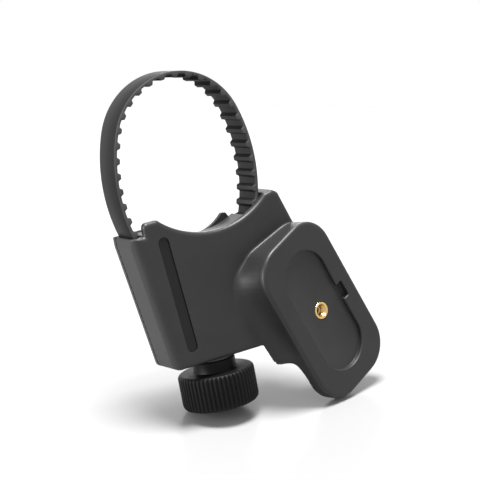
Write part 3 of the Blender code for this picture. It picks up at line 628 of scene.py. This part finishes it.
def wall_top():
    """What lies above the left wall, behind the front plate and its horns."""
    left = -60.0
    right = CAVITY_RIGHT - 0.1
    outline = [(left, LEFT_WALL_TOP), (right, LEFT_WALL_TOP), (right, CLEAR_TOP), (left, CLEAR_TOP)]
    return slab("wall_top", outline, FRONT + WALL, BACK + 20.0)


def strip():
    """The obround groove along the front face's left edge."""
    run = STRIP_LOW - STRIP_TOP
    lean = math.degrees(math.atan2(run.y, run.x))
    outline = arc(STRIP_TOP, STRIP_R, lean + 270.0, lean + 90.0, 16)
    outline += arc(STRIP_LOW, STRIP_R, lean + 90.0, lean - 90.0, 16)
    return slab("strip", outline[::-1], FRONT - 3.0, FRONT + STRIP_DEPTH)


def foot_plate():
    """The plate itself, its rim rounded, reaching a little into the neck."""
    outer = foot_outline(0.0, 16)
    rings = [[(x, y, -FOOT_T) for x, y in outer]]
    for k in range(7):
        angle = math.radians(15.0 * k)
        inset = FOOT_EDGE * (1.0 - math.cos(angle))
        depth = FOOT_EDGE * (1.0 - math.sin(angle))
        rings.append([(x, y, -depth) for x, y in foot_outline(inset, 16)])
    plate = skin("plate", [[Vector(p) * 0.001 for p in ring] for ring in rings])
    plate.data.transform(foot_matrix())
    return plate


def on_foot(obj):
    obj.data.transform(foot_matrix())
    return obj


def left_corner():
    """What the wide rounding takes off the long vertical edge on the left."""
    radius = SIDE_ROUND
    run = Vector((LEFT_TOP_X - LEFT_FOOT_X, LEFT_TOP_Z - BOTTOM)).normalized()
    inwards = Vector((run.y, -run.x))
    profile = [(-2.0, -2.0), (radius, -2.0)]
    profile += [(radius + x, radius + y) for x, y in arc((0.0, 0.0), radius, 270.0, 180.0, 16)]
    profile += [(-2.0, radius)]
    rings = []
    for height in (-12.0, 90.0):
        ring = []
        for across, depth in profile:
            at = Vector((LEFT_FOOT_X, BOTTOM)) + run * height + inwards * across
            ring.append((mm(at.x), mm(FRONT + depth), mm(at.y)))
        rings.append(ring)
    return skin("left_corner", rings)


def housing_shell():
    """Front housing, neck and foot plate as the one moulding they look like."""
    shell = lipped_slab("housing_shell", front_outline(), FRONT, BACK, LIP_ROUND)
    cut(shell, left_corner())
    cut(shell, neck(), operation="UNION")
    cut(shell, foot_plate(), operation="UNION")
    soften(shell, SKIN_VOXEL, SKIN_ROUNDS)
    cut(shell, cavity(), wall_top(), strip())
    cut(shell, cylinder("bush_hole", BUSH_R + GAP, BOTTOM - 5.0, BOTTOM + 9.0))
    for x, z in COVER_SCREWS:
        boss = along_y(cylinder("boss", BOSS_R, 0.0, BACK - FRONT - WALL), x, z, FRONT + WALL - 0.5)
        cut(shell, boss, operation="UNION")
        cut(shell, along_y(cylinder("pilot", PILOT_R, 0.0, 20.0, 20), x, z, -6.0))
    stadium = round_rectangle(RECESS_HALF_W, RECESS_HALF_L, RECESS_HALF_W - 0.01, 20)
    cut(shell, on_foot(recess_cutter(stadium, RECESS, 0.5)))
    notch = [(NOTCH_OUT, NOTCH_TOP, 0.8), (NOTCH_IN, NOTCH_TOP, 0.0)]
    notch += [(NOTCH_IN, NOTCH_LOW, 0.0), (NOTCH_OUT, NOTCH_LOW, 0.8)]
    cut(shell, on_foot(recess_cutter(rounded(notch, 4), NOTCH_DEPTH, 0.3)))
    cut(shell, on_foot(cylinder("insert_bore", INSERT_R + 0.25, -8.0, 4.0)))
    fine(shell, HOUSING, 40.0)
    shell.data.materials.append(STRIP)
    for face in shell.data.polygons:
        level = face.center.y * 1000.0 - FRONT - STRIP_DEPTH
        if abs(level) < 0.02 and face.center.x < mm(-14.0) and face.normal.y < -0.99:
            face.material_index = 1
    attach(shell, "housing")
    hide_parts("front_housing", "foot_plate")


def cover_outline():
    """The rear cover: a tighter saddle than the front's, a small raised tip, and the slot for the belt."""
    run = math.sqrt(REAR_R**2 - (REAR_LOW + REAR_R - LEFT_WALL_TOP) ** 2)
    start = REAR_X - run
    corners = []
    steps = 40
    for i in range(steps + 1):
        x = start + (REAR_TIP_X - start) * i / steps
        corners.append((x, REAR_LOW + REAR_R - math.sqrt(REAR_R**2 - (x - REAR_X) ** 2), 0.0))
    tip = corners[-1][1]
    corners += [(REAR_TIP_X + REAR_TIP_W, tip, 1.0), (FLOOR_RIGHT - 1.0, SADDLE_LOW, 1.0)]
    corners += [(44.0, 92.0, 1.0), (46.0, RIGHT_HORN[1], 1.0)]
    return rounded(corners + body_corners(False))


def cover_shell():
    shell = slab("cover_shell", cover_outline(), BACK + GAP, COVER_BACK)

    def rim(a, b):
        return 1.0 if abs(a.y - b.y) < 1e-6 and a.y > mm(COVER_BACK - 0.5) else 0.0

    bevel(shell, COVER_ROUND, 6, weights=rim)
    for x, z in COVER_SCREWS:
        cut(shell, along_y(cylinder("hole", COVER_HOLE_R, 0.0, 12.0), x, z, BACK - 2.0))
        cut(shell, along_y(cylinder("sink", COVER_SINK_R, 0.0, 9.0), x, z, BACK + GAP + COVER_SEAT))
    fine(shell, HOUSING)
    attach(shell, "housing")
    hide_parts("rear_cover")


def saddle_bed():
    shelf = SADDLE_X - math.sqrt(SADDLE_R**2 - (SADDLE_LOW + SADDLE_R - FLOOR_DROP - FLOOR_LEVEL) ** 2)
    top = [(FLOOR_LEFT, FLOOR_LEVEL)] + saddle_line(shelf, FLOOR_RIGHT, FLOOR_DROP, 40)
    under = saddle_line(shelf, FLOOR_RIGHT - 0.6, FLOOR_DROP + FLOOR_T, 40)[::-1]
    under += [(FLOOR_LEFT, FLOOR_LEVEL - FLOOR_T)]
    bed = slab("saddle_bed", top + under, FRONT + WALL + GAP, BACK - GAP)
    bevel(bed, 0.5, 3, angle=50.0)
    fine(bed, INNER)
    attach(bed, "housing")
    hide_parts("saddle_floor")


# ---------------------------------------------------------------- foot plate


def offset(outline, distance):
    """The outline moved inwards by this distance, point by point."""
    moved = []
    count = len(outline)
    for i, point in enumerate(outline):
        here = Vector(point)
        before = (here - Vector(outline[i - 1])).normalized()
        after = (Vector(outline[(i + 1) % count]) - here).normalized()
        tangent = before + after
        normal = Vector((-tangent.y, tangent.x)).normalized()
        moved.append(tuple(here + normal * distance / max(0.4, normal.dot(Vector((-after.y, after.x))))))
    return moved


def recess_cutter(outline, depth, chamfer):
    """A pocket with a small lead-in at the top and a radius at the floor."""
    levels = [(3.0, -3.0), (0.02, -chamfer), (-chamfer, 0.0), (-depth + 0.5, 0.0)]
    levels += [(-depth + 0.15, 0.15), (-depth, 0.5)]
    rings = [[Vector((x, y, z)) * 0.001 for x, y in offset(outline, inset)] for z, inset in levels[1:]]
    top = [Vector((x, y, 3.0)) * 0.001 for x, y in offset(outline, -chamfer)]
    return skin("recess", [top] + rings)


def insert_ring():
    """The brass insert: knurled outside, chamfered mouth and rings for its thread inside."""
    top = -RECESS + 0.2
    length = INSERT_L
    rings = []
    sides = 96
    profile = [(INSERT_R, top - length), (INSERT_R, top - 0.25), (INSERT_R - 0.25, top)]
    profile += [(INSERT_MOUTH_R, top), (INSERT_MOUTH_R - 0.35, top - 0.35)]
    for k in range(THREAD_TURNS * 2 + 1):
        profile.append((THREAD_CREST_R if k % 2 else THREAD_ROOT_R, top - 0.5 - 0.55 * k))
    profile.append((THREAD_CREST_R + 0.05, top - length))
    for radius, z in profile:
        ring = []
        for k in range(sides):
            knurl = 0.12 if radius > INSERT_R - 0.1 and k % 4 < 2 else 0.0
            angle = 2.0 * math.pi * k / sides
            ring.append(ring_point(radius - knurl, angle, z))
        rings.append(ring)
    ring_obj = skin("insert_ring", rings + [rings[0]], cap=(False, False))
    merge(ring_obj)
    ring_obj.data.transform(foot_matrix())
    fine(ring_obj, BRASS, 30.0)
    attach(ring_obj, "housing")
    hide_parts("brass_insert")


def merge(obj):
    bm = bmesh.new()
    bm.from_mesh(obj.data)
    bmesh.ops.remove_doubles(bm, verts=bm.verts, dist=1e-7)
    bmesh.ops.recalc_face_normals(bm, faces=bm.faces)
    bm.to_mesh(obj.data)
    bm.free()


# ---------------------------------------------------------------- belt


def belt_path():
    """(function giving point and outward normal at a distance along the back, total length)."""
    centre_x = BELT_HALF - BELT_SIDE_R
    start = math.asin((BELT_END - BELT_SIDE_Z) / BELT_SIDE_R)
    top_r = (centre_x + BELT_SIDE_R * math.cos(BELT_TURN)) / math.cos(BELT_TURN)
    top_z = BELT_SIDE_Z + BELT_SIDE_R * math.sin(BELT_TURN) - top_r * math.sin(BELT_TURN)
    side = BELT_SIDE_R * (BELT_TURN - start)
    total = 2.0 * side + 2.0 * top_r * (math.pi / 2.0 - BELT_TURN)

    def at(distance):
        right = distance > total / 2.0
        run = total - distance if right else distance
        if run < side:
            angle = start + run / BELT_SIDE_R
            x = centre_x + BELT_SIDE_R * math.cos(angle)
            z = BELT_SIDE_Z + BELT_SIDE_R * math.sin(angle)
        else:
            angle = BELT_TURN + (run - side) / top_r
            x = top_r * math.cos(angle)
            z = top_z + top_r * math.sin(angle)
        sign = 1.0 if right else -1.0
        return Vector((sign * x, z)), Vector((sign * math.cos(angle), math.sin(angle)))

    return at, total


def tooth_height(share):
    """Height of the toothed side at this share of a pitch: a rounded trapezoid."""
    rise = 0.085
    low_edge, high_edge = 0.29, 0.71
    if share < low_edge - rise or share > high_edge + rise:
        return 0.0
    if low_edge + rise <= share <= high_edge - rise:
        return 1.0
    near = low_edge if share < 0.5 else high_edge
    slope = (share - near) / rise if share < 0.5 else (near - share) / rise
    return 0.5 + 0.5 * math.sin(slope * math.pi / 2.0)


def band_slot(k, count, climbing):
    """Material slot of a strip between two rows: back, weave, tooth flank in a painted shade, or cut edge.
    """
    if k < count - 1:
        return 3 if k < 2 or k > count - 4 else 0
    if k in (count - 1, 2 * count - 1):
        return 3
    if k < count + 2 or k > 2 * count - 4:
        return 3
    # Climbing strips, the tooth flanks, take the darker copy: painted shade.
    return 2 if climbing else 1


def band(name, at, total, tooth, thickness, phase=0.0):
    """A belt along a path: smooth back, toothed fabric side, soft edges, texture coordinates in metres."""
    count = int(total / PITCH)
    margin = (total - count * PITCH) / 2.0
    per_pitch = 24
    stations = [0.0]
    stations += [margin + PITCH * i / per_pitch for i in range(count * per_pitch + 1)]
    stations.append(total)
    edge = 0.28
    across = [(0.0, edge), (edge * 0.3, edge * 0.3), (edge, 0.0)]
    across += [(BELT_W / 2.0, 0.0)]
    across += [(BELT_W - edge, 0.0), (BELT_W - edge * 0.3, edge * 0.3), (BELT_W, edge)]
    bm = bmesh.new()
    uv = bm.loops.layers.uv.new("UVMap")
    rows = []
    for s in stations:
        point, normal = at(s)
        share = ((s - margin) / PITCH + phase) % 1.0
        height = tooth * tooth_height(share) if margin <= s <= total - margin else 0.0
        ring = [(point - normal * inset, y, s) for y, inset in across]
        ring += [(point - normal * (thickness + height - inset), y, s) for y, inset in across[::-1]]
        row = []
        for p, y, s in ring:
            row.append((bm.verts.new((mm(p.x), mm(BELT_FRONT + y), mm(p.y))), y, s, height))
        rows.append(row)
    for one, two in zip(rows, rows[1:]):
        size = len(one)
        climb = abs(one[0][3] - two[0][3])
        for k in range(size):
            after = (k + 1) % size
            corners = (one[k], one[after], two[after], two[k])
            face = bm.faces.new([c[0] for c in corners])
            face.material_index = band_slot(k, len(across), climb > 0.12 * tooth)
            for loop, corner in zip(face.loops, corners):
                loop[uv].uv = (mm(corner[2]), mm(corner[1]))
    bm.faces.new([c[0] for c in rows[0]])
    bm.faces.new([c[0] for c in rows[-1]])
    made = from_bmesh(name, bm)
    smooth(made, 50.0)
    for finish in (BELT_BACK_MAT, BELT_WEAVE_MAT, BELT_FLANK_SHADE_MAT, BELT_EDGE_MAT):
        made.data.materials.append(finish)
    return made


def belt_band():
    at, total = belt_path()
    loop = band("belt_band", at, total, TOOTH_H, BELT_BACK, 0.5)
    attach(loop, "housing")
    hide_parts("belt_loop")
    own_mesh(loop)


def tail_path(side):
    """(function giving point and outward normal, length) of the strand from the slot to the carriage."""
    outside = TAIL_FOOT_X
    points = [(TAIL_TOP_X, TAIL_TOP), (TAIL_BEND_X, TAIL_BEND), (outside + 1.0, CAR_TOP + 1.0)]
    points += [(outside, CAR_TOP - 2.0), (outside, CAR_LOW + 1.0)]
    points = [Vector((side * x, z)) for x, z in points]
    runs = [(b - a).length for a, b in zip(points, points[1:])]
    normals = [side * Vector((a.y - b.y, (b.x - a.x))).normalized() for a, b in zip(points, points[1:])]

    def at(distance):
        left = distance
        for k, run in enumerate(runs):
            if left <= run or k == len(runs) - 1:
                break
            left -= run
        share = min(1.0, left / run)
        before = normals[k] + normals[max(0, k - 1)]
        after = normals[k] + normals[min(len(runs) - 1, k + 1)]
        return points[k].lerp(points[k + 1], share), before.lerp(after, share).normalized()

    return at, sum(runs)


def belt_tail(side):
    """The strand inside the housing; its teeth are low enough to pass the guide pin."""
    name = "left" if side < 0 else "right"
    at, total = tail_path(side)
    tail = band("tail_band_" + name, at, total, TAIL_T - BELT_BACK, BELT_BACK)
    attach(tail, "carriage")
    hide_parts("belt_tail_" + name)


# ---------------------------------------------------------------- knob


def knob_head():
    """Fluted head with rounded rims, a shallow dish on top and its hub."""
    lower = [(3.7, 0.02), (3.1, 0.0), (2.2, 0.05), (1.3, 0.45), (0.5, 1.25), (0.15, 2.1)]
    lower += [(0.0, 3.2), (0.0, 10.0)]
    upper = [(0.0, 2.0), (0.2, 1.1), (0.7, 0.4), (1.5, 0.0), (2.7, 0.0)]
    profile = [(KNOB_RIM_R - inset, z) for inset, z in lower]
    profile += [(KNOB_RIM_R - inset, KNOB_TOP - drop) for inset, drop in upper]
    profile += [(HUB_R + 1.2, KNOB_TOP), (HUB_R + 0.3, KNOB_TOP + 0.3), (HUB_R, KNOB_TOP + 1.2)]
    profile += [(HUB_R, HUB_TOP - 0.6), (HUB_R - 0.6, HUB_TOP), (KNOB_BORE_R, HUB_TOP)]
    profile += [(KNOB_BORE_R, KNOB_TOP - 4.0)]
    rings = []
    for radius, z in profile:
        share = max(0.0, min(1.0, (radius - KNOB_RIM_R + 0.9) / 0.8))
        rings.append(flute_ring(radius, z, share))
    head = skin("knob_head", rings)
    fine(head, KNOB_MAT, 40.0)
    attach(head, "knob")
    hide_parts("knob", "knob_cap")


def flute_ring(radius, z, share):
    """One level of the knob, its flutes cut by this share of their depth."""
    ring = []
    sides = KNOB_FLUTES * FLUTE_SIDES
    for k in range(sides):
        valley = 0.5 - 0.5 * math.cos(2.0 * math.pi * (k % FLUTE_SIDES) / FLUTE_SIDES)
        inset = FLUTE_DEPTH * share * min(1.0, max(0.0, valley * 1.6 - 0.3))
        angle = 2.0 * math.pi * k / sides
        ring.append(ring_point(radius - inset, angle, z))
    return ring


# ---------------------------------------------------------------- carried-over CAD pieces


def finish_cad():
    """Procedural finishes and smooth shading for the pieces whose CAD shape is shown as it is."""
    finishes = {
        "knob_core": BRASS,
        "bottom_bush": BRASS,
        "tension_nut": BRASS,
        "thrust_washer": INNER,
        "tension_carriage": INNER,
    }
    for name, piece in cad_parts.items():
        fine(piece, finishes.get(name, STEEL))


# ---------------------------------------------------------------- stage


def stage_floor():
    """The pale floor on which the knob's rim and the foot's lower corner rest."""
    knob_drop = KNOB_R * math.sqrt(FLOOR_UP.x**2 + FLOOR_UP.y**2)
    bm = bmesh.new()
    bmesh.ops.create_circle(bm, cap_ends=True, segments=96, radius=0.55)
    floor = from_bmesh("floor", bm)
    floor.rotation_euler = FLOOR_UP.to_track_quat("Z", "Y").to_euler()
    floor.location = FLOOR_UP * mm(-knob_drop - 0.3)
    made, nodes, _ = new_material("floor_white")
    shader = nodes["Principled BSDF"]
    shader.inputs["Base Color"].default_value = (0.22, 0.22, 0.22, 1.0)
    shader.inputs["Roughness"].default_value = 0.6
    floor.data.materials.append(made)


def area(name, at, aim, size, power):
    light = bpy.data.lights.new(name, "AREA")
    light.shape = "DISK"
    light.size = size
    light.energy = power
    lamp = bpy.data.objects.new(name, light)
    bpy.context.scene.collection.objects.link(lamp)
    lamp.location = at
    lamp.rotation_euler = (Vector(aim) - Vector(at)).to_track_quat("-Z", "Y").to_euler()


def studio():
    """An even white surround, a lamp from the left, one square above the floor and one from behind."""
    world = bpy.data.worlds.new("studio")
    world.use_nodes = True
    world.node_tree.nodes["Background"].inputs["Color"].default_value = (1.0, 1.0, 1.0, 1.0)
    world.node_tree.nodes["Background"].inputs["Strength"].default_value = 1.0
    bpy.context.scene.world = world
    area("key", (-1.0, 0.1, 0.3), (0.0, 0.0, 0.08), 0.6, KEY_POWER)
    centre = Vector((0.02, 0.0, 0.08))
    area("top", centre + FLOOR_UP * 2.0, centre, 0.8, TOP_POWER)
    area("rim", (0.55, 0.75, 0.7), (0.0, 0.0, 0.08), 0.3, RIM_POWER)
    bpy.context.scene.view_settings.view_transform = "Standard"


def camera():
    lens = bpy.data.cameras.new("camera")
    lens.lens = 150.0
    lens.sensor_width = 36.0
    lens.clip_start = 0.01
    eye = bpy.data.objects.new("camera", lens)
    bpy.context.scene.collection.objects.link(eye)
    look = (CAMERA_AIM - CAMERA_AT).to_track_quat("-Z", "Y")
    turn = look @ Quaternion((0.0, 0.0, 1.0), math.radians(CAMERA_ROLL))
    eye.location = CAMERA_AT
    eye.rotation_euler = turn.to_euler()
    bpy.context.scene.camera = eye


camera()
finish_cad()
housing_shell()
cover_shell()
saddle_bed()
insert_ring()
belt_band()
belt_tail(-1)
belt_tail(1)
knob_head()
stage_floor()
studio()
